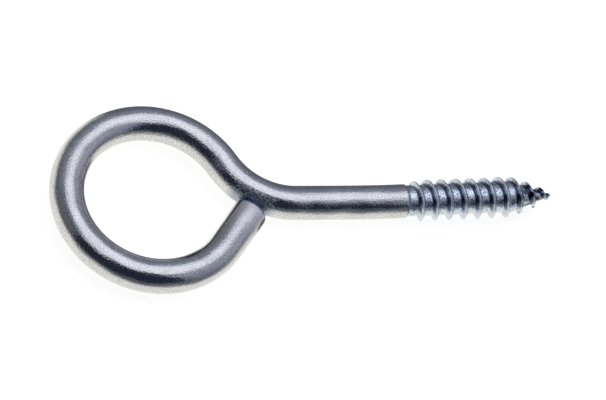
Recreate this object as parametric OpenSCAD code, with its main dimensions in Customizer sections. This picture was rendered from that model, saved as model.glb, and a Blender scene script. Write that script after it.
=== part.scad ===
// Screw eye: one length of round steel wire, bent into an eye that closes on
// its own neck, with a wood thread and a gimlet point on the other end.
// The eye lies flat. The middle of the eye is the origin, the shank runs
// along +X, and +Z is the axis of the eye.

/* [Wire] */
// Diameter of the wire
wire_d = 6; // [4:0.1:8]
// How much thinner the wire is where it has been bent
bend_thinning = 0.02; // [0.01:0.01:0.2]
// Rounding round the cut end of the wire
end_round = 0.7; // [0.2:0.1:1.5]

/* [Eye] */
// Clear diameter inside the eye
eye_bore = 24; // [18:0.5:40]
// Direction of the wire's straight end, measured from the shank
end_angle = 51; // [40:1:65]
// Gap between the wire's cut end and the neck
end_gap = 0.15; // [0.1:0.05:2]

/* [Neck] */
// Radius of the bend between eye and shank, at the middle of the wire
neck_r = 13.6; // [10:0.1:24]
// Straight length between this bend and the eye
link_len = 1; // [0.8:0.1:6]
// How far the shank's line passes beside the middle of the eye
shank_offset = 1; // [0:0.1:3]

/* [Shank] */
// Length of the plain shank, from the neck to the thread
shank_len = 19.9; // [18:0.1:60]
// Straight length of the shank next to the thread
collar_len = 2; // [1:0.1:4]
// Angle by which the threaded end leans out of the shank's line
lean_angle = 2; // [0.5:0.1:3]
// Radius of the slight bend that gives this lean
lean_r = 240; // [100:10:250]

/* [Thread] */
// Length of the threaded part, with its point
thread_len = 28; // [18:0.1:60]
// Diameter over the crests of the thread
crest_d = 7.2; // [6:0.1:9]
// Diameter at the root of the thread
root_d = 5.5; // [3:0.1:5.8]
// Distance from one crest to the next
pitch = 2.7; // [2:0.05:4]
// Width of the flat crest, in shares of the pitch
crest_land = 0.05; // [0.02:0.01:0.15]
// Width of the flank that faces the shank, in shares of the pitch
shank_flank = 0.13; // [0.08:0.01:0.4]
// Width of the flank that faces the point, in shares of the pitch
point_flank = 0.2; // [0.08:0.01:0.4]
// Length of plain core between the shank and the start of the thread
core_len = 1.1; // [0.5:0.1:3]
// Length over which the thread rises out of the core
thread_rise = 1; // [0.5:0.1:4]
// Turn of the thread about its axis, in degrees
thread_turn = 165; // [0:5:355]

/* [Point] */
// Length of the taper over the crests
point_len = 7.8; // [5:0.1:12]
// Fullness of this taper: a straight cone is 1, and a rounder nose is less
nose_fullness = 0.7; // [0.5:0.05:1]
// Length of the taper at the root
root_taper_len = 7.8; // [5:0.1:12]
// Diameter of the very tip
tip_d = 0.4; // [0.2:0.1:1]

/* [Hidden] */

round_steps = 96;
turn_steps = 36;

wire_r = wire_d / 2;
bend_d = wire_d - bend_thinning;
eye_r = (eye_bore + wire_d) / 2;

// Each bend reaches this far into the straight lengths beside it
lap = 0.3;

neck_y = neck_r - shank_offset;
neck_x = sqrt(pow(eye_r + neck_r, 2) + pow(link_len, 2) - pow(neck_y, 2));
link_angle = atan2(neck_y, neck_x) + atan2(link_len, eye_r + neck_r);

tail_from = end_angle + 270;
tail_start = eye_r * [cos(tail_from), sin(tail_from)];
tail_along = [cos(end_angle), sin(end_angle)];
tail_aside = [-sin(end_angle), cos(end_angle)];
to_neck = [neck_x, neck_y] - tail_start;
rim_r = wire_r - end_round;
rim_miss = max(0, abs(to_neck * tail_aside) - rim_r);
rim_reach = neck_r + wire_r + end_gap + end_round;
tail_len = to_neck * tail_along + end_round - sqrt(pow(rim_reach, 2) - pow(rim_miss, 2));

lean_len = lean_r * lean_angle * PI / 180;
straight_len = shank_len - lean_len - collar_len;

// The thread's section, from the middle of one crest to the next: where each
// line along the thread lies, in shares of the pitch, and its height, in shares
// of the thread's depth
section = [
    [-crest_land / 2, 1],
    [crest_land / 2, 1],
    [crest_land / 2 + point_flank, 0],
    [1 - crest_land / 2 - shank_flank, 0]
];
section_lines = len(section);

// The threaded part's core starts this far inside the shank
seat_depth = 1;
turns_before = ceil(seat_depth / pitch) + 1;
turns = turns_before + ceil(thread_len / pitch) + 1;
rows = turns * section_lines;
tip_index = turn_steps * rows;

function share(part, whole) = max(0, min(1, part / whole));

function eased(t) = t * t * (3 - 2 * t);

// Radius at the root and over the crests, at distance x from the shank
function root_at(x) =
    tip_d / 2 + (root_d - tip_d) / 2 * share(thread_len - x, root_taper_len);

function crest_at(x) =
    tip_d / 2 + (crest_d - tip_d) / 2 * pow(share(thread_len - x, point_len), nose_fullness);

function depth_at(x) =
    max(0, crest_at(x) - root_at(x)) * eased(share(x - core_len, thread_rise));

// Place and height of line i in the section
function place_of(i) = section[i % section_lines][0];

function height_of(i) = section[i % section_lines][1];

// Distance along the thread of line i at step j of its turn, and the same
// held within the threaded part
function line_x(i, j) =
    pitch * (floor(i / section_lines) - turns_before + place_of(i) + j / turn_steps);

function held_x(i, j) = max(-seat_depth, min(thread_len, line_x(i, j)));

function line_r(i, j) =
    root_at(held_x(i, j)) + depth_at(held_x(i, j)) * height_of(i);

function thread_point(i, j) =
    let (a = 360 * j / turn_steps + thread_turn)
    [held_x(i, j), line_r(i, j) * cos(a), line_r(i, j) * sin(a)];

// The lines between which the skin runs, at each step of the turn
first_line = [
    for (j = [0:turn_steps]) max([for (i = [0:rows]) line_x(i, j) <= -seat_depth ? i : 0])
];
last_line = [
    for (j = [0:turn_steps]) min([for (i = [0:rows]) line_x(i, j) >= thread_len ? i : rows])
];

function point_index(i, j) =
    j == turn_steps ? point_index(i + section_lines, 0)
    : i >= last_line[j] ? tip_index
    : j * rows + max(i, first_line[j]);

function is_face(f) = f[0] != f[1] && f[1] != f[2] && f[0] != f[2];

// A bend of the wire about the local origin, from one angle to another, with
// a lap at each end
module bend(r, from, to) {
    lap_angle = lap / r * 180 / PI;
    rotate([0, 0, from - lap_angle])
        rotate_extrude(angle = to - from + 2 * lap_angle, $fn = round_steps)
            translate([r, 0])
                circle(d = bend_d);
}

// A straight length of the wire, along the local X
module straight(length) {
    rotate([0, 90, 0])
        cylinder(d = wire_d, h = length, $fn = round_steps);
}

// The eye, with the straight length that leads into the neck
module eye() {
    bend(eye_r, link_angle, tail_from);
    rotate([0, 0, link_angle - 90])
        translate([0, eye_r, 0])
            straight(link_len);
}

// The wire's straight end, cut off square with its rim rounded
module tail() {
    translate([tail_start.x, tail_start.y, 0])
        rotate([0, 0, end_angle])
            rotate([0, 90, 0])
                rotate_extrude($fn = round_steps) {
                    square([rim_r, tail_len]);
                    square([wire_r, tail_len - end_round]);
                    translate([rim_r, tail_len - end_round])
                        circle(r = end_round);
                }
}

// The bend that brings the wire onto the shank's line
module neck() {
    translate([neck_x, neck_y, 0])
        bend(neck_r, 180 + link_angle, 270);
}

// Carries its children to the end of the slight bend, in line with its lean
module leaning() {
    translate([neck_x + straight_len, lean_r - shank_offset, 0])
        rotate([0, 0, lean_angle])
            translate([0, -lean_r, 0])
                children();
}

// The plain shank, with the slight bend before its collar
module shank() {
    translate([neck_x, -shank_offset, 0])
        straight(straight_len);
    translate([neck_x + straight_len, lean_r - shank_offset, 0])
        bend(lean_r, 270, 270 + lean_angle);
    leaning()
        straight(collar_len);
}

// The threaded part: a right-hand wood thread that tapers to a gimlet point
module wood_thread() {
    points = concat(
        [for (j = [0:turn_steps - 1]) for (i = [0:rows - 1]) thread_point(i, j)],
        [[thread_len, 0, 0]]
    );
    skin = [
        for (j = [0:turn_steps - 1]) for (i = [0:rows - section_lines - 1])
            let (
                a = point_index(i, j),
                b = point_index(i + 1, j),
                c = point_index(i + 1, j + 1),
                d = point_index(i, j + 1)
            )
            for (f = [[a, b, c], [a, c, d]]) if (is_face(f)) f
    ];
    start = [[for (j = [0:turn_steps - 1]) j * rows + first_line[j]]];
    polyhedron(points = points, faces = concat(skin, start));
}

module screw_eye() {
    color("silver") {
        eye();
        tail();
        neck();
        shank();
        leaning()
            translate([collar_len, 0, 0])
                wood_thread();
    }
}

screw_eye();
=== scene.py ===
import math

import bpy
from mathutils import Matrix, Vector


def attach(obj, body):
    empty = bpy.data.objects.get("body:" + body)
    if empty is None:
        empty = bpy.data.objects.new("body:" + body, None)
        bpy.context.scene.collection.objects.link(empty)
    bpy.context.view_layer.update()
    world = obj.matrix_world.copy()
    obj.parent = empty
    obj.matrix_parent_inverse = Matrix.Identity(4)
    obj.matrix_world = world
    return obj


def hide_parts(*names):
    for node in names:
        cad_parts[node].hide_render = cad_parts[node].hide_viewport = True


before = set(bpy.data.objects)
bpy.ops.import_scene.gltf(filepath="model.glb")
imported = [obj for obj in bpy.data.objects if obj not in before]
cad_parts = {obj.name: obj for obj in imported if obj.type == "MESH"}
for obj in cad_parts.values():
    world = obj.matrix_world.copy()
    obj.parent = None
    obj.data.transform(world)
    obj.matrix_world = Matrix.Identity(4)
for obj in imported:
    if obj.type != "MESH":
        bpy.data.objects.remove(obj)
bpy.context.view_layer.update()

mm = 0.001
fullTurn = 2 * math.pi
scene = bpy.context.scene


# small helpers for node trees

def feed(tree, socket, value):
    if isinstance(value, bpy.types.NodeSocket):
        tree.links.new(value, socket)
    else:
        socket.default_value = value


def addNode(tree, kind, inputs=None, **settings):
    node = tree.nodes.new(kind)
    for name, value in settings.items():
        setattr(node, name, value)
    for name, value in (inputs or {}).items():
        feed(tree, node.inputs[name], value)
    return node


def calc(tree, operation, *values, clamp=False):
    node = addNode(tree, "ShaderNodeMath", operation=operation, use_clamp=clamp)
    for socket, value in zip(node.inputs, values):
        feed(tree, socket, value)
    return node.outputs[0]


def plus(tree, total, *others):
    for other in others:
        total = calc(tree, "ADD", total, other)
    return total


def times(tree, product, *others):
    for other in others:
        product = calc(tree, "MULTIPLY", product, other)
    return product


def minus(tree, first, second, clamp=False):
    return calc(tree, "SUBTRACT", first, second, clamp=clamp)


def over(tree, first, second, clamp=False):
    return calc(tree, "DIVIDE", first, second, clamp=clamp)


def larger(tree, first, second):
    return calc(tree, "MAXIMUM", first, second)


def vectorCalc(tree, operation, first, second=None):
    node = addNode(tree, "ShaderNodeVectorMath", operation=operation)
    feed(tree, node.inputs[0], first)
    if second is not None:
        feed(tree, node.inputs["Scale" if operation == "SCALE" else 1], second)
    return node.outputs["Value" if operation == "DOT_PRODUCT" else "Vector"]


def combine(tree, **parts):
    return addNode(tree, "ShaderNodeCombineXYZ", parts).outputs[0]


def separate(tree, vector):
    return addNode(tree, "ShaderNodeSeparateXYZ", {0: vector}).outputs


def ramp(tree, value, fromLow, fromHigh, toLow, toHigh, smooth=True):
    node = addNode(tree, "ShaderNodeMapRange", clamp=True,
                   interpolation_type="SMOOTHSTEP" if smooth else "LINEAR")
    for name, amount in (("Value", value), ("From Min", fromLow), ("From Max", fromHigh),
                         ("To Min", toLow), ("To Max", toHigh)):
        feed(tree, node.inputs[name], amount)
    return node.outputs["Result"]


# a share that is full up to the inner distance from a middle, and nothing past the outer one
def around(tree, value, middle, inner, outer, share=1):
    away = calc(tree, "ABSOLUTE", minus(tree, value, middle))
    return ramp(tree, away, inner, outer, share, 0)


def blendOf(tree, share, first, second):
    node = addNode(tree, "ShaderNodeMix")
    for socket, value in zip(node.inputs, (share, None, first, second)):   # None: a vector's share
        if value is not None:
            feed(tree, socket, value)
    return node.outputs[0]


def colourBlend(tree, share, first, second):
    node = addNode(tree, "ShaderNodeMix", {"Factor": share}, data_type="RGBA")
    feed(tree, node.inputs["A"], first)
    feed(tree, node.inputs["B"], second)
    return node.outputs["Result"]


def newMaterial(name):
    material = bpy.data.materials.new(name)
    material.use_nodes = True
    material.node_tree.nodes.clear()
    return material, material.node_tree


def setSurface(tree, shader):
    output = tree.nodes.new("ShaderNodeOutputMaterial")
    tree.links.new(shader.outputs[0], output.inputs["Surface"])


def heading(degrees):
    return Vector((math.cos(math.radians(degrees)), math.sin(math.radians(degrees)), 0))


# the wire's line, from the cut end round the eye and down the shank to the point

wire = {
    "radius": 3 * mm,
    "eyeRadius": 15 * mm,        # to the middle of the wire
    "endAngle": 51,              # direction of the straight end, from the shank
    "endLength": 9 * mm,
    "endRound": 0.7 * mm,
    "neckRadius": 13.6 * mm,
    "linkLength": 1 * mm,        # straight between eye and neck
    "shankOffset": 1 * mm,
    "shankLength": 19.9 * mm,
    "collarLength": 2 * mm,
    "leanAngle": 2,
    "leanRadius": 240 * mm,
    "spareLength": 1 * mm,       # of line past the point
    "step": 0.25 * mm,           # spacing of the points on the line
}

thread = {
    "Thread Length": 28 * mm,
    "Pitch": 2.7 * mm,
    "Crest Radius": 3.6 * mm,
    "Root Radius": 2.75 * mm,
    "Turn": 165,                 # of the thread about its axis, in degrees
    "Core Length": 1.1 * mm,     # plain core before the thread rises
    "Rise": 1 * mm,              # length over which it does
    "Start Blend": 0.25 * mm,    # from the plain wire down to the core

    # the section, in shares of the pitch
    "Shank Flank": 0.13,         # width of the flank that faces the shank
    "Point Flank": 0.2,          # and of the one that faces the point
    "Crest Land": 0.05,          # width of the flat crest
    "Edge Rounding": 0.03,

    # the point
    "Point Length": 7.8 * mm,    # of the taper over the crests
    "Fullness": 0.7,             # of this taper: a straight cone is 1, and a rounder nose is less
    "Root Taper": 7.8 * mm,
    "Tip Radius": 0.2 * mm,
    "Tip Closing": 0.0001 * mm,  # this near the very tip, the skin closes on the line
    "Tip Knob": 0.1 * mm,
    "Knob Place": 0.35 * mm,     # back from the very tip
    "Knob Reach": 0.3 * mm,

    # unevenness of the crests
    "Raggedness": 0.24,          # in shares of the thread's depth
    "Wave Unit": 2 * mm,         # of length along the thread, for the two scales below
    "Broad Waves": 1.1,
    "Fine Waves": 5,

    # where the plating is polished, in shares of the crests' height
    "Polish From": 0.86,
    "Polish Full": 0.97,

    # where shade is painted dark: a corner below each shank flank, and part of the way up that
    # flank
    "Corner": 0.17,              # its width, in shares of the pitch
    "Corner Core": 0.6,          # the share of it that is fully dark
    "Corner Height": 0.4,        # the height up the flank where it starts to fade
    "Corner Fade": 0.4,          # and the height over which it does
    "Side Height": 0.1,          # where it starts to on the side that faces along +Y
    "Side Edge": 0.5,            # where that side begins, as a cosine round the wire
    "Side Full": 0.75,           # and where it is fully there
}

skin = {
    "Columns": 96,
    "Wire Rows": 330,
    "Rows per Turn": 32,
    "Crowding": 0.75,            # how much closer the rows stand at a crest
    "Seed": 7,
    "Weld Distance": 0.001 * mm,
}


def straightPoints(start, direction, length, step):
    count = math.ceil(length / step)
    return [start + direction * (length * k / count) for k in range(1, count + 1)]


def bendPoints(centre, radius, fromDegrees, toDegrees, step):
    sweep = toDegrees - fromDegrees
    count = math.ceil(abs(math.radians(sweep)) * radius / step)
    return [centre + heading(fromDegrees + sweep * k / count) * radius for k in range(1, count + 1)]


def linePoints(w, threadLength):
    step = w["step"]
    neckY = w["neckRadius"] - w["shankOffset"]
    reach = w["eyeRadius"] + w["neckRadius"]
    neckX = math.sqrt(reach ** 2 + w["linkLength"] ** 2 - neckY ** 2)
    linkAngle = math.degrees(math.atan2(neckY, neckX) + math.atan2(w["linkLength"], reach))
    tailFrom = w["endAngle"] + 270
    along = heading(w["endAngle"])
    points = [heading(tailFrom) * w["eyeRadius"] + along * w["endLength"]]
    points += straightPoints(points[-1], -along, w["endLength"], step)
    points += bendPoints(Vector(), w["eyeRadius"], tailFrom, linkAngle, step)
    points += straightPoints(points[-1], heading(linkAngle - 90), w["linkLength"], step)
    points += bendPoints(Vector((neckX, neckY, 0)), w["neckRadius"], 180 + linkAngle, 270, step)
    leanLength = w["leanRadius"] * math.radians(w["leanAngle"])
    plainLength = w["shankLength"] - leanLength - w["collarLength"]
    points += straightPoints(points[-1], heading(0), plainLength, step)
    leanCentre = points[-1] + Vector((0, w["leanRadius"], 0))
    points += bendPoints(leanCentre, w["leanRadius"], 270, 270 + w["leanAngle"], step)
    points += straightPoints(points[-1], heading(w["leanAngle"]), w["collarLength"], step)
    shoulder = sum((b - a).length for a, b in zip(points, points[1:]))
    threadLine = threadLength + w["spareLength"]
    points += straightPoints(points[-1], heading(w["leanAngle"]), threadLine, step)
    return points, shoulder


points, shoulderAt = linePoints(wire, thread["Thread Length"])
lineCurve = bpy.data.curves.new("wireLine", "CURVE")
lineCurve.dimensions = "3D"
spline = lineCurve.splines.new("POLY")
spline.points.add(len(points) - 1)
for place, point in zip(spline.points, points):
    place.co = (*point, 1)
wireLine = bpy.data.objects.new("wireLine", lineCurve)
scene.collection.objects.link(wireLine)
print("line:", len(points), "points, shoulder at", round(shoulderAt / mm, 2), "mm")


# the tree that wraps one skin round the line: cut end, plain wire, thread

def gridOn(tree, rows, columns):
    count = plus(tree, columns, 1)
    grid = addNode(tree, "GeometryNodeMeshGrid", {"Vertices X": rows, "Vertices Y": count})
    index = addNode(tree, "GeometryNodeInputIndex").outputs[0]
    row = calc(tree, "FLOOR", over(tree, index, count))
    column = calc(tree, "MODULO", index, count)
    return grid.outputs["Mesh"], row, over(tree, column, columns)


def aroundWire(tree, angle, along):
    return combine(tree, X=calc(tree, "COSINE", angle), Y=calc(tree, "SINE", angle), Z=along)


def storeVector(tree, geometry, name, value):
    return addNode(tree, "GeometryNodeStoreNamedAttribute", {
        "Geometry": geometry, "Name": name, "Value": value,
    }, data_type="FLOAT_VECTOR", domain="POINT").outputs[0]


def wrap(tree, grid, line, along, radius, angle):
    sample = addNode(tree, "GeometryNodeSampleCurve", {
        "Curves": line, "Length": along}, mode="LENGTH")
    sideways = vectorCalc(tree, "CROSS_PRODUCT", (0, 0, 1), sample.outputs["Tangent"])
    across = vectorCalc(tree, "SCALE", sideways, times(tree, radius, calc(tree, "COSINE", angle)))
    upward = combine(tree, Z=times(tree, radius, calc(tree, "SINE", angle)))
    place = vectorCalc(tree, "ADD", sample.outputs["Position"], across)
    place = vectorCalc(tree, "ADD", place, upward)
    moved = addNode(tree, "GeometryNodeSetPosition", {"Geometry": grid, "Position": place})
    return storeVector(tree, moved.outputs[0], "wireFlow", aroundWire(tree, angle, along))


def unevenness(tree, place, scale, seed):
    noise = addNode(tree, "ShaderNodeTexNoise", {
        "Vector": place, "W": seed, "Scale": scale, "Detail": 1}, noise_dimensions="4D")
    return minus(tree, noise.outputs[0], 0.5)


def screwEyeTree():
    tree = bpy.data.node_groups.new("screwEyeTree", "GeometryNodeTree")
    face = tree.interface
    face.new_socket("Geometry", in_out="INPUT", socket_type="NodeSocketGeometry")
    face.new_socket("Geometry", in_out="OUTPUT", socket_type="NodeSocketGeometry")
    sizes = ["Wire Radius", "End Rounding", "Shoulder", "Crowding", "Weld Distance"] + list(thread)
    for name in sizes:
        face.new_socket(name, in_out="INPUT", socket_type="NodeSocketFloat")
    for name in ("Columns", "Wire Rows", "Rows per Turn", "Seed"):
        face.new_socket(name, in_out="INPUT", socket_type="NodeSocketInt")
    face.new_socket("Material", in_out="INPUT", socket_type="NodeSocketMaterial")
    given = tree.nodes.new("NodeGroupInput").outputs
    line, columns = given["Geometry"], given["Columns"]

    # the cut end: a flat face from its middle outwards, then its rounded rim
    faceRows, rimRows = 8, 10
    rounding = given["End Rounding"]
    grid, row, share = gridOn(tree, faceRows + rimRows, columns)
    angle = times(tree, share, fullTurn)
    rim = minus(tree, given["Wire Radius"], rounding)
    onFace = ramp(tree, row, 0, faceRows, 0, 1, smooth=False)
    onRim = ramp(tree, row, faceRows, faceRows + rimRows - 1, 0, math.pi / 2, smooth=False)
    radius = plus(tree, times(tree, rim, onFace), times(tree, rounding, calc(tree, "SINE", onRim)))
    along = times(tree, rounding, minus(tree, 1, calc(tree, "COSINE", onRim)))
    end = wrap(tree, grid, line, along, radius, angle)

    # the plain wire
    grid, row, share = gridOn(tree, given["Wire Rows"], columns)
    angle = times(tree, share, fullTurn)
    lastRow = minus(tree, given["Wire Rows"], 1)
    along = ramp(tree, row, 0, lastRow, rounding, given["Shoulder"], smooth=False)
    plain = wrap(tree, grid, line, along, given["Wire Radius"], angle)

    # the thread: rows that climb round the core, held between shoulder and tip
    perTurn, length, pitch = given["Rows per Turn"], given["Thread Length"], given["Pitch"]
    turns = calc(tree, "CEIL", plus(tree, over(tree, length, pitch), 1))
    grid, row, share = gridOn(tree, plus(tree, times(tree, turns, perTurn), 1), columns)
    hair = 0.001                 # so that rounding can't put a turn's first row in the turn before
    inTurn = calc(tree, "FRACT", over(tree, plus(tree, row, hair), perTurn))
    whole = minus(tree, over(tree, row, perTurn), inTurn)
    swing = calc(tree, "SINE", times(tree, inTurn, fullTurn))
    crowded = plus(tree, inTurn, times(tree, swing, over(tree, given["Crowding"], -fullTurn)))
    climb = minus(tree, plus(tree, whole, crowded, share), 1)
    x = calc(tree, "MINIMUM", length, larger(tree, 0, times(tree, climb, pitch)))
    left = minus(tree, length, x)
    angle = plus(tree, times(tree, share, fullTurn), calc(tree, "RADIANS", given["Turn"]))
    along = plus(tree, given["Shoulder"], x)

    def taper(width, distance, fullness):
        gone = calc(tree, "POWER", over(tree, left, distance, clamp=True), fullness)
        return blendOf(tree, gone, given["Tip Radius"], width)

    root = taper(given["Root Radius"], given["Root Taper"], 1)
    top = taper(given["Crest Radius"], given["Point Length"], given["Fullness"])
    risen = ramp(tree, minus(tree, x, given["Core Length"]), 0, given["Rise"], 0, 1)
    flow = aroundWire(tree, angle, over(tree, x, given["Wave Unit"]))
    uneven = plus(tree, unevenness(tree, flow, given["Broad Waves"], given["Seed"]),
                  unevenness(tree, flow, given["Fine Waves"], given["Seed"]))
    depth = times(tree, larger(tree, 0, minus(tree, top, root)), risen)
    depth = times(tree, depth, plus(tree, 1, times(tree, given["Raggedness"], uneven)))

    def flank(away, width):
        blunt = given["Edge Rounding"]
        away = larger(tree, 0, minus(tree, away, times(tree, given["Crest Land"], 0.5)))
        slant = calc(tree, "SQRT", plus(tree, times(tree, away, away), times(tree, blunt, blunt)))
        return minus(tree, 1, over(tree, minus(tree, slant, blunt), width), clamp=True)

    height = larger(tree, flank(crowded, given["Point Flank"]),
                    flank(minus(tree, 1, crowded), given["Shank Flank"]))
    cut = plus(tree, root, times(tree, depth, height))
    knob = around(tree, left, given["Knob Place"], 0, given["Knob Reach"])
    cut = plus(tree, cut, times(tree, knob, given["Tip Knob"]))
    cut = blendOf(tree, ramp(tree, x, 0, given["Start Blend"], 0, 1), given["Wire Radius"], cut)
    radius = times(tree, cut, calc(tree, "GREATER_THAN", left, given["Tip Closing"]))
    threaded = wrap(tree, grid, line, along, radius, angle)

    # where the plating is polished, and where shade is painted dark in the corners
    crest = ramp(tree, height, given["Polish From"], given["Polish Full"], 0, 1)
    core = times(tree, given["Corner"], given["Corner Core"])
    corner = minus(tree, minus(tree, 1, given["Shank Flank"]), crowded)
    corner = ramp(tree, corner, given["Corner"], core, 0, 1)
    # the painted shade stops lower on the side that faces along +Y
    reach = ramp(tree, calc(tree, "COSINE", angle), given["Side Full"], given["Side Edge"],
                 given["Side Height"], given["Corner Height"])
    faded = plus(tree, reach, given["Corner Fade"])
    corner = times(tree, corner, ramp(tree, height, reach, faded, 1, 0))
    threaded = storeVector(tree, threaded, "threadPlace", combine(
        tree, X=times(tree, crest, risen), Y=times(tree, corner, risen)))

    joined = addNode(tree, "GeometryNodeJoinGeometry")
    for part in (end, plain, threaded):
        tree.links.new(part, joined.inputs[0])
    welded = addNode(tree, "GeometryNodeMergeByDistance", {
        "Geometry": joined.outputs[0], "Distance": given["Weld Distance"]})
    outward = addNode(tree, "GeometryNodeFlipFaces", {"Mesh": welded.outputs[0]})
    smooth = addNode(tree, "GeometryNodeSetShadeSmooth", {
        "Geometry": outward.outputs[0], "Shade Smooth": True})
    real = addNode(tree, "GeometryNodeRealizeInstances", {"Geometry": smooth.outputs[0]})
    dressed = addNode(tree, "GeometryNodeSetMaterial", {
        "Geometry": real.outputs[0], "Material": given["Material"]})
    result = tree.nodes.new("NodeGroupOutput")
    tree.links.new(dressed.outputs[0], result.inputs[0])
    return tree


# bright zinc plating on drawn wire, with painted shade in places; a pair is the range over which
# something sets in or fades

plating = {
    "wireDull": (0.66, 0.67, 0.69, 1),
    "wireBright": (0.72, 0.73, 0.74, 1),
    "threadDull": (0.67, 0.75, 0.87, 1),     # the thread keeps a bluer plating
    "threadBright": (0.76, 0.84, 0.95, 1),
    "threadStart": (-0.1 * mm, 0.3 * mm),    # from the shoulder
    "cloudScale": 260,                       # dull and bright plating lie in clouds
    "cloudEdge": (0.35, 0.65),
    "wireRoughness": 0.09,
    "threadRoughness": 0.15,
    "dullScale": 70,                         # where the wire's shine is softer
    "dullEdge": (0.4, 0.65),
    "dullness": 0.05,

    # painted shade: darker colour in the thread's corners, most of it on the upper side
    "corner": (0.06, 0.09, 0.17, 1),
    "cornerUp": (0, 0.45),                   # where that side begins, as a sine round the wire
    "cornerBelow": 0.1,                      # what shows of it on the lower side
    "cornerShade": 0.9,
    "cornerDulling": 0.5,                    # how much of the glancing reflection is taken out there, also painted shade

    # painted shade: a dark line in the step at the shoulder, mostly on the upper side
    "ledgeWidth": (0.1 * mm, 0.3 * mm),
    "ledgeUp": (-0.2, 0.4),
    "ledgeBelow": 0.1,
    "ledgeCloud": (0.2, 0.7),
    "ledgeBroken": 0.35,                       # what is left of it in a bright cloud
    "ledgeShade": 0.85,

    # dark pits all over the thread, fewer on the lower side: real pits, and painted shade that
    # keeps the upper side darker
    "pitScale": 3900,
    "pitEdge": (0.56, 0.61),
    "pitUp": (-0.3, 0.4),
    "pitBelow": 0.35,
    "pitShade": 0.75,

    # polished crests
    "crest": (0.92, 0.92, 0.92, 1),
    "crestShade": 0.8,
    "crestDullness": 0.3,

    # dark scuffs towards the point
    "scuff": (0.06, 0.07, 0.10, 1),
    "scuffScale": 900,
    "scuffEdge": (0.46, 0.58),
    "scuffReach": (9 * mm, 4.5 * mm),        # back from the tip

    # painted shade on the cut end's face and the inner part of its rim, for the gap against the
    # neck, and a dark strip along one side of the wire beside the end
    "cut": (0.20, 0.26, 0.36, 1),
    "cutInside": 0.75,                       # the share of the rim's rounding that has its colour
    "darkStrip": (0.05, 0.06, 0.08, 1),
    "darkStripReach": (2.4 * mm, 4 * mm),
    "darkStripEdge": (0.86, 0.92),                # its place across the wire
    "darkStripWander": 0.1,
    "grainEdge": (0.4, 0.6),                 # the grain breaks up the dark strip and the painted shade on the neck
    "darkStripBroken": 0.4,

    # the wire is paler and duller beside its end
    "endShine": 1.33,
    "endDullness": 0.4,
    "endFade": 9 * mm,

    # painted shade: a dark line inside the bend to the straight end
    "bendShadeAlong": (9 * mm, 17 * mm),
    "bendShadePlace": (-0.80, -0.62),           # across the wire, shifting along that bend
    "bendShadeFade": 5 * mm,
    "bendShadeWidth": (0.05, 0.1),
    "bendShadeStrength": 0.85,

    # painted shade where the cut end meets the neck, along the wire and across it; the neck is also
    # rougher there
    "contact": (0.36, 0.42, 0.54, 1),
    "contactAt": 93.8 * mm,
    "contactReach": (2.52 * mm, 4.2 * mm),
    "contactSide": (-0.55, -0.3),
    "contactShade": 0.75,
    "contactBroken": 0.4,
    "contactDullness": 0.4,
    "contactPatch": (0.42, 0.58),
    "contactMottle": (0.35, 1.15),           # least and most of that dullness

    # specks, grain, drawing streaks and faint waves
    "grainScale": 3300,
    "grainDepth": 0.036 * mm,
    "speckEdge": (0.34, 0.66),
    "speckShade": (0.8, 1.08),
    "grainRange": (0.3, 0.7),
    "grainDullness": (-0.05, 0.07),
    "streakStretch": (1, 1, 25),
    "streakScale": 6,
    "streakDepth": 0.03 * mm,
    "waveScale": 140,
    "waveDepth": 0.35 * mm,
}


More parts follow.
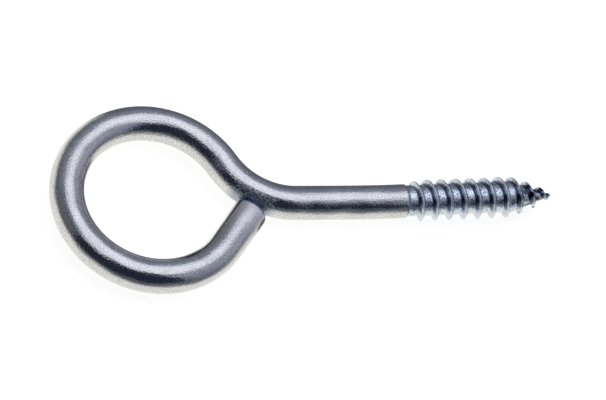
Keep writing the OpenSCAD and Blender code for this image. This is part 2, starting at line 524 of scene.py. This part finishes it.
def zincPlate(p):
    material, tree = newMaterial("zincPlate")
    place = addNode(tree, "ShaderNodeTexCoord").outputs["Object"]
    flow = addNode(tree, "ShaderNodeAttribute", attribute_name="wireFlow").outputs["Vector"]
    marks = addNode(tree, "ShaderNodeAttribute", attribute_name="threadPlace").outputs["Vector"]
    aside, above, along = separate(tree, flow)
    crest, corner, _ = separate(tree, marks)

    def noise(scale, detail, at=place):
        return addNode(tree, "ShaderNodeTexNoise", {
            "Vector": at, "Scale": scale, "Detail": detail}).outputs[0]

    cloud = ramp(tree, noise(p["cloudScale"], 4), *p["cloudEdge"], 0, 1)
    grain = noise(p["grainScale"], 2)
    threadFrom, threadFull = [shoulderAt + shift for shift in p["threadStart"]]
    onThread = ramp(tree, along, threadFrom, threadFull, 0, 1)
    colour = colourBlend(tree, onThread, colourBlend(tree, cloud, p["wireDull"], p["wireBright"]),
                         colourBlend(tree, cloud, p["threadDull"], p["threadBright"]))
    # the thread's own marks: painted shade in its corners and at the shoulder, pits, and scuffs
    # towards the point

    # the thread's own marks
    # painted shade in the thread's corners, stronger on the upper side
    cornerShade = ramp(tree, above, *p["cornerUp"], p["cornerBelow"] * p["cornerShade"],
                       p["cornerShade"])
    corner = times(tree, corner, cornerShade)
    # painted shade in the step at the shoulder, weaker on the lower side and broken up in bright
    # clouds
    ledge = around(tree, along, shoulderAt, *p["ledgeWidth"], p["ledgeShade"])
    ledge = times(tree, ledge, ramp(tree, above, *p["ledgeUp"], p["ledgeBelow"], 1),
                  ramp(tree, cloud, *p["ledgeCloud"], 1, p["ledgeBroken"]))
    # pits, thinned on the lower side: partly painted shade
    pits = times(tree, onThread, ramp(tree, above, *p["pitUp"], p["pitBelow"], 1),
                 ramp(tree, noise(p["pitScale"], 1), *p["pitEdge"], 0, p["pitShade"]))
    scuffFrom, scuffFull = [shoulderAt + thread["Thread Length"] - back for back in p["scuffReach"]]
    nearTip = ramp(tree, along, scuffFrom, scuffFull, 0, 1)
    scuff = times(tree, ramp(tree, noise(p["scuffScale"], 3), *p["scuffEdge"], 0, 1), nearTip)

    # painted shade at the cut end, in the bend that leads to it and where it meets the neck, and a
    # dark strip beside the end
    # painted shade on the cut end, for the gap against the neck
    cut = ramp(tree, along, p["cutInside"] * wire["endRound"], wire["endRound"], 1, 0)
    # a dark strip along one side of the wire beside its cut end
    darkStrip = plus(tree, aside, times(tree, minus(tree, cloud, 0.5), p["darkStripWander"]))
    darkStrip = times(tree, ramp(tree, darkStrip, *p["darkStripEdge"], 0, 1),
                 ramp(tree, along, *p["darkStripReach"], 1, 0),
                 ramp(tree, grain, *p["grainEdge"], 1, p["darkStripBroken"]))
    bendShadeEnd = p["bendShadeAlong"][1]
    # painted shade along the inside of the bend
    bendShade = ramp(tree, along, *p["bendShadeAlong"], *p["bendShadePlace"], smooth=False)
    bendShade = times(tree, around(tree, aside, bendShade, *p["bendShadeWidth"], p["bendShadeStrength"]),
                   ramp(tree, along, bendShadeEnd, bendShadeEnd + p["bendShadeFade"], 1, 0))
    # painted shade on the neck where the cut end meets it, broken up by the grain
    contact = times(tree, around(tree, along, p["contactAt"], *p["contactReach"]),
                    ramp(tree, aside, *p["contactSide"], 1, 0))
    contactShadow = times(tree, contact, ramp(tree, grain, *p["grainEdge"], p["contactShade"],
                                       p["contactBroken"]))

    for share, mark in ((corner, "corner"), (ledge, "corner"), (pits, "corner"),
                        (times(tree, crest, p["crestShade"]), "crest"), (scuff, "scuff"),
                        (cut, "cut"), (darkStrip, "darkStrip"), (bendShade, "darkStrip"), (contactShadow, "contact")):
        colour = colourBlend(tree, share, colour, p[mark])
    nearEnd = ramp(tree, along, 0, p["endFade"], 1, 0)
    colour = vectorCalc(tree, "SCALE", colour, blendOf(tree, nearEnd, 1, p["endShine"]))
    colour = vectorCalc(tree, "SCALE", colour, ramp(tree, grain, *p["speckEdge"], *p["speckShade"],
                                                    smooth=False))

    mottled = times(tree, contact, ramp(tree, grain, *p["contactPatch"], *p["contactMottle"]))
    rough = plus(tree, blendOf(tree, onThread, p["wireRoughness"], p["threadRoughness"]),
                 ramp(tree, grain, *p["grainRange"], *p["grainDullness"], smooth=False),
                 times(tree, nearEnd, p["endDullness"]), times(tree, mottled, p["contactDullness"]),
                 times(tree, crest, p["crestDullness"]),
                 ramp(tree, noise(p["dullScale"], 0), *p["dullEdge"], 0, p["dullness"]))
    # the glancing reflection is taken out under the painted shade and on the dark strip
    paintedShadeAndStrip = larger(tree, larger(tree, darkStrip, bendShade), times(tree, corner, p["cornerDulling"]))
    glancing = colourBlend(tree, paintedShadeAndStrip, (1, 1, 1, 1), (0, 0, 0, 1))

    streakPlace = vectorCalc(tree, "MULTIPLY", flow, p["streakStretch"])
    streak = noise(p["streakScale"], 2, at=streakPlace)
    shader = addNode(tree, "ShaderNodeBsdfPrincipled", {
        "Metallic": 1, "Base Color": colour, "Roughness": rough, "Specular Tint": glancing})
    bump = None
    for height, distance in ((noise(p["waveScale"], 1), p["waveDepth"]), (streak, p["streakDepth"]),
                             (grain, p["grainDepth"])):
        node = addNode(tree, "ShaderNodeBump", {"Height": height, "Distance": distance})
        if bump:
            tree.links.new(bump.outputs[0], node.inputs["Normal"])
        bump = node
    tree.links.new(bump.outputs[0], shader.inputs["Normal"])
    setSurface(tree, shader)
    return material


# run the tree and keep its mesh

modifier = wireLine.modifiers.new("screwEyeTree", "NODES")
modifier.node_group = screwEyeTree()
values = {**thread, **skin, "Wire Radius": wire["radius"], "End Rounding": wire["endRound"],
          "Shoulder": shoulderAt, "Material": zincPlate(plating)}
for item in modifier.node_group.interface.items_tree:
    if item.in_out == "INPUT" and item.name in values:
        modifier[item.identifier] = values[item.name]
evaluated = wireLine.evaluated_get(bpy.context.evaluated_depsgraph_get())
mesh = bpy.data.meshes.new_from_object(evaluated)
mesh.name = "screwEye"
screwEye = bpy.data.objects.new("screwEye", mesh)
scene.collection.objects.link(screwEye)
wireLine.modifiers.remove(modifier)
bpy.data.objects.remove(wireLine)
triangles = sum(len(face.vertices) - 2 for face in mesh.polygons)
print("skin:", len(mesh.vertices), "points,", triangles, "triangles")

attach(screwEye, "root")
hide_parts("screw_eye")


# white table

table = {
    "height": -3.6 * mm,
    "size": 6,
    "glow": 0.77,
    "paper": (0.82, 0.80, 0.75, 1),
}


def tableWhite(t):
    material, tree = newMaterial("tableWhite")
    rays = addNode(tree, "ShaderNodeLightPath").outputs
    seen = larger(tree, rays["Is Camera Ray"],
                  larger(tree, rays["Is Glossy Ray"], rays["Is Transmission Ray"]))
    paper = addNode(tree, "ShaderNodeBsdfDiffuse", {"Color": t["paper"]})
    glow = addNode(tree, "ShaderNodeEmission", {"Strength": times(tree, seen, t["glow"])})
    both = addNode(tree, "ShaderNodeAddShader", {0: paper.outputs[0], 1: glow.outputs[0]})
    setSurface(tree, both)
    return material


bpy.ops.mesh.primitive_plane_add(size=table["size"], location=(0, 0, table["height"]))
floor = bpy.context.object
floor.name = "floor"
floor.data.materials.append(tableWhite(table))
floor.visible_glossy = False


# the studio round it: a tent of pale walls that the camera doesn't see, open and dark towards the
# front, with a soft light above; its lower half stands for the table in the metal's reflections

tent = {
    "radius": 4,
    "wall": (0.116, 0.124, 0.156, 1),
    "wallSlope": (0.45, 0, 2.08),             # the walls are brighter to the right and higher up
    "wallLeast": 0.9,
    "far": {"azimuth": 170, "elevation": 42, "reach": 22, "soft": 18,
            "colour": (0.125, 0.135, 0.168, 1)},
    "side": {"azimuth": 4, "elevation": 30, "reach": 24, "soft": 19,
             "colour": (0.40, 0.41, 0.48, 1)},
    "plain": {"azimuth": 160, "reach": 72, "soft": 15, "upTo": 30, "fade": 14,
              "tint": (1.03, 1.0, 0.85)},     # the low walls on this side are less blue
    "dark": {"azimuth": 246, "reach": 58, "soft": 3, "upFrom": 11, "fade": 5,
             "colour": (0.022, 0.027, 0.044, 1)},
    "low": {"azimuth": 130, "elevation": -86, "reach": 80, "soft": 16,
            "colour": (1.0, 0.985, 0.925, 1)},
    "gap": {"azimuth": 47, "elevation": -10, "reach": 44, "soft": 4, "share": 0.93,
            "lowest": -0.70, "edge": 0.05},   # the part of the low patch that is left out
    "wing": {"azimuth": 196, "elevation": 70.5, "reach": 9, "soft": 5,
             "colour": (0.95, 0.96, 1.06, 1)},
    "light": {"azimuth": 52, "elevation": 75, "reach": 27, "soft": 11,
              "colour": (1.06, 1.07, 1.17, 1)},
}


def studioTent(t):
    material, tree = newMaterial("studioTent")
    way = vectorCalc(tree, "NORMALIZE", addNode(tree, "ShaderNodeTexCoord").outputs["Object"])
    upward = separate(tree, way)["Z"]
    level = vectorCalc(tree, "NORMALIZE", vectorCalc(tree, "MULTIPLY", way, (1, 1, 0)))

    def within(p, toward, middle):
        away = calc(tree, "ARCCOSINE", vectorCalc(tree, "DOT_PRODUCT", toward, tuple(middle)))
        away = calc(tree, "DEGREES", away)
        return ramp(tree, away, p["reach"] - p["soft"], p["reach"] + p["soft"], 1, 0)

    def patch(p):
        rise = math.radians(p["elevation"])
        middle = heading(p["azimuth"]) * math.cos(rise) + Vector((0, 0, math.sin(rise)))
        return within(p, way, middle)

    def sector(p):
        return within(p, level, heading(p["azimuth"]))

    def higher(degrees, fade):
        ends = [math.sin(math.radians(degrees + side)) for side in (-fade, fade)]
        return ramp(tree, upward, *ends, 0, 1)

    slope = plus(tree, 1, vectorCalc(tree, "DOT_PRODUCT", way, t["wallSlope"]))
    tone = vectorCalc(tree, "SCALE", t["wall"][:3], larger(tree, t["wallLeast"], slope))
    for name in ("far", "side"):
        tone = colourBlend(tree, patch(t[name]), tone, t[name]["colour"])
    plain, dark, gap = t["plain"], t["dark"], t["gap"]
    share = times(tree, sector(plain), minus(tree, 1, higher(plain["upTo"], plain["fade"])))
    tone = colourBlend(tree, share, tone, vectorCalc(tree, "MULTIPLY", tone, plain["tint"]))
    share = times(tree, sector(dark), higher(dark["upFrom"], dark["fade"]))
    tone = colourBlend(tree, share, tone, dark["colour"])
    share = ramp(tree, upward, gap["lowest"] - gap["edge"], gap["lowest"] + gap["edge"],
                 0, gap["share"])
    share = minus(tree, 1, times(tree, patch(gap), share))
    tone = colourBlend(tree, times(tree, patch(t["low"]), share), tone, t["low"]["colour"])
    for name in ("wing", "light"):
        tone = colourBlend(tree, patch(t[name]), tone, t[name]["colour"])
    setSurface(tree, addNode(tree, "ShaderNodeEmission", {"Color": tone, "Strength": 1}))
    return material


bpy.ops.mesh.primitive_uv_sphere_add(segments=64, ring_count=32, radius=tent["radius"])
studio = bpy.context.object
studio.name = "studioTent"
studio.data.materials.append(studioTent(tent))
studio.visible_camera = False

world = bpy.data.worlds.new("world")
scene.world = world
world.use_nodes = True
background = world.node_tree.nodes["Background"].inputs
background["Color"].default_value = (1, 1, 1, 1)
background["Strength"].default_value = 1
scene.view_settings.view_transform = "Standard"
print("table, tent and world are set")


# a long lens, from the front left and above

view = {
    "place": Vector((-0.13546, -0.24064, 0.43277)),
    "right": Vector((0.9501, -0.1574, 0.2693)),
    "up": Vector((0.0065, 0.8733, 0.4872)),
    "back": Vector((-0.3119, -0.4611, 0.8307)),
    "lens": 177.9,
    "filmWidth": 36,
    "nearest": 0.05,
}
camera = bpy.data.objects.new("camera", bpy.data.cameras.new("camera"))
scene.collection.objects.link(camera)
camera.data.lens = view["lens"]
camera.data.sensor_width = view["filmWidth"]
camera.data.clip_start = view["nearest"]
camera.matrix_world = Matrix.Translation(view["place"]) @ Matrix(
    (view["right"], view["up"], view["back"])).transposed().to_4x4()
scene.camera = camera
print("camera is set")
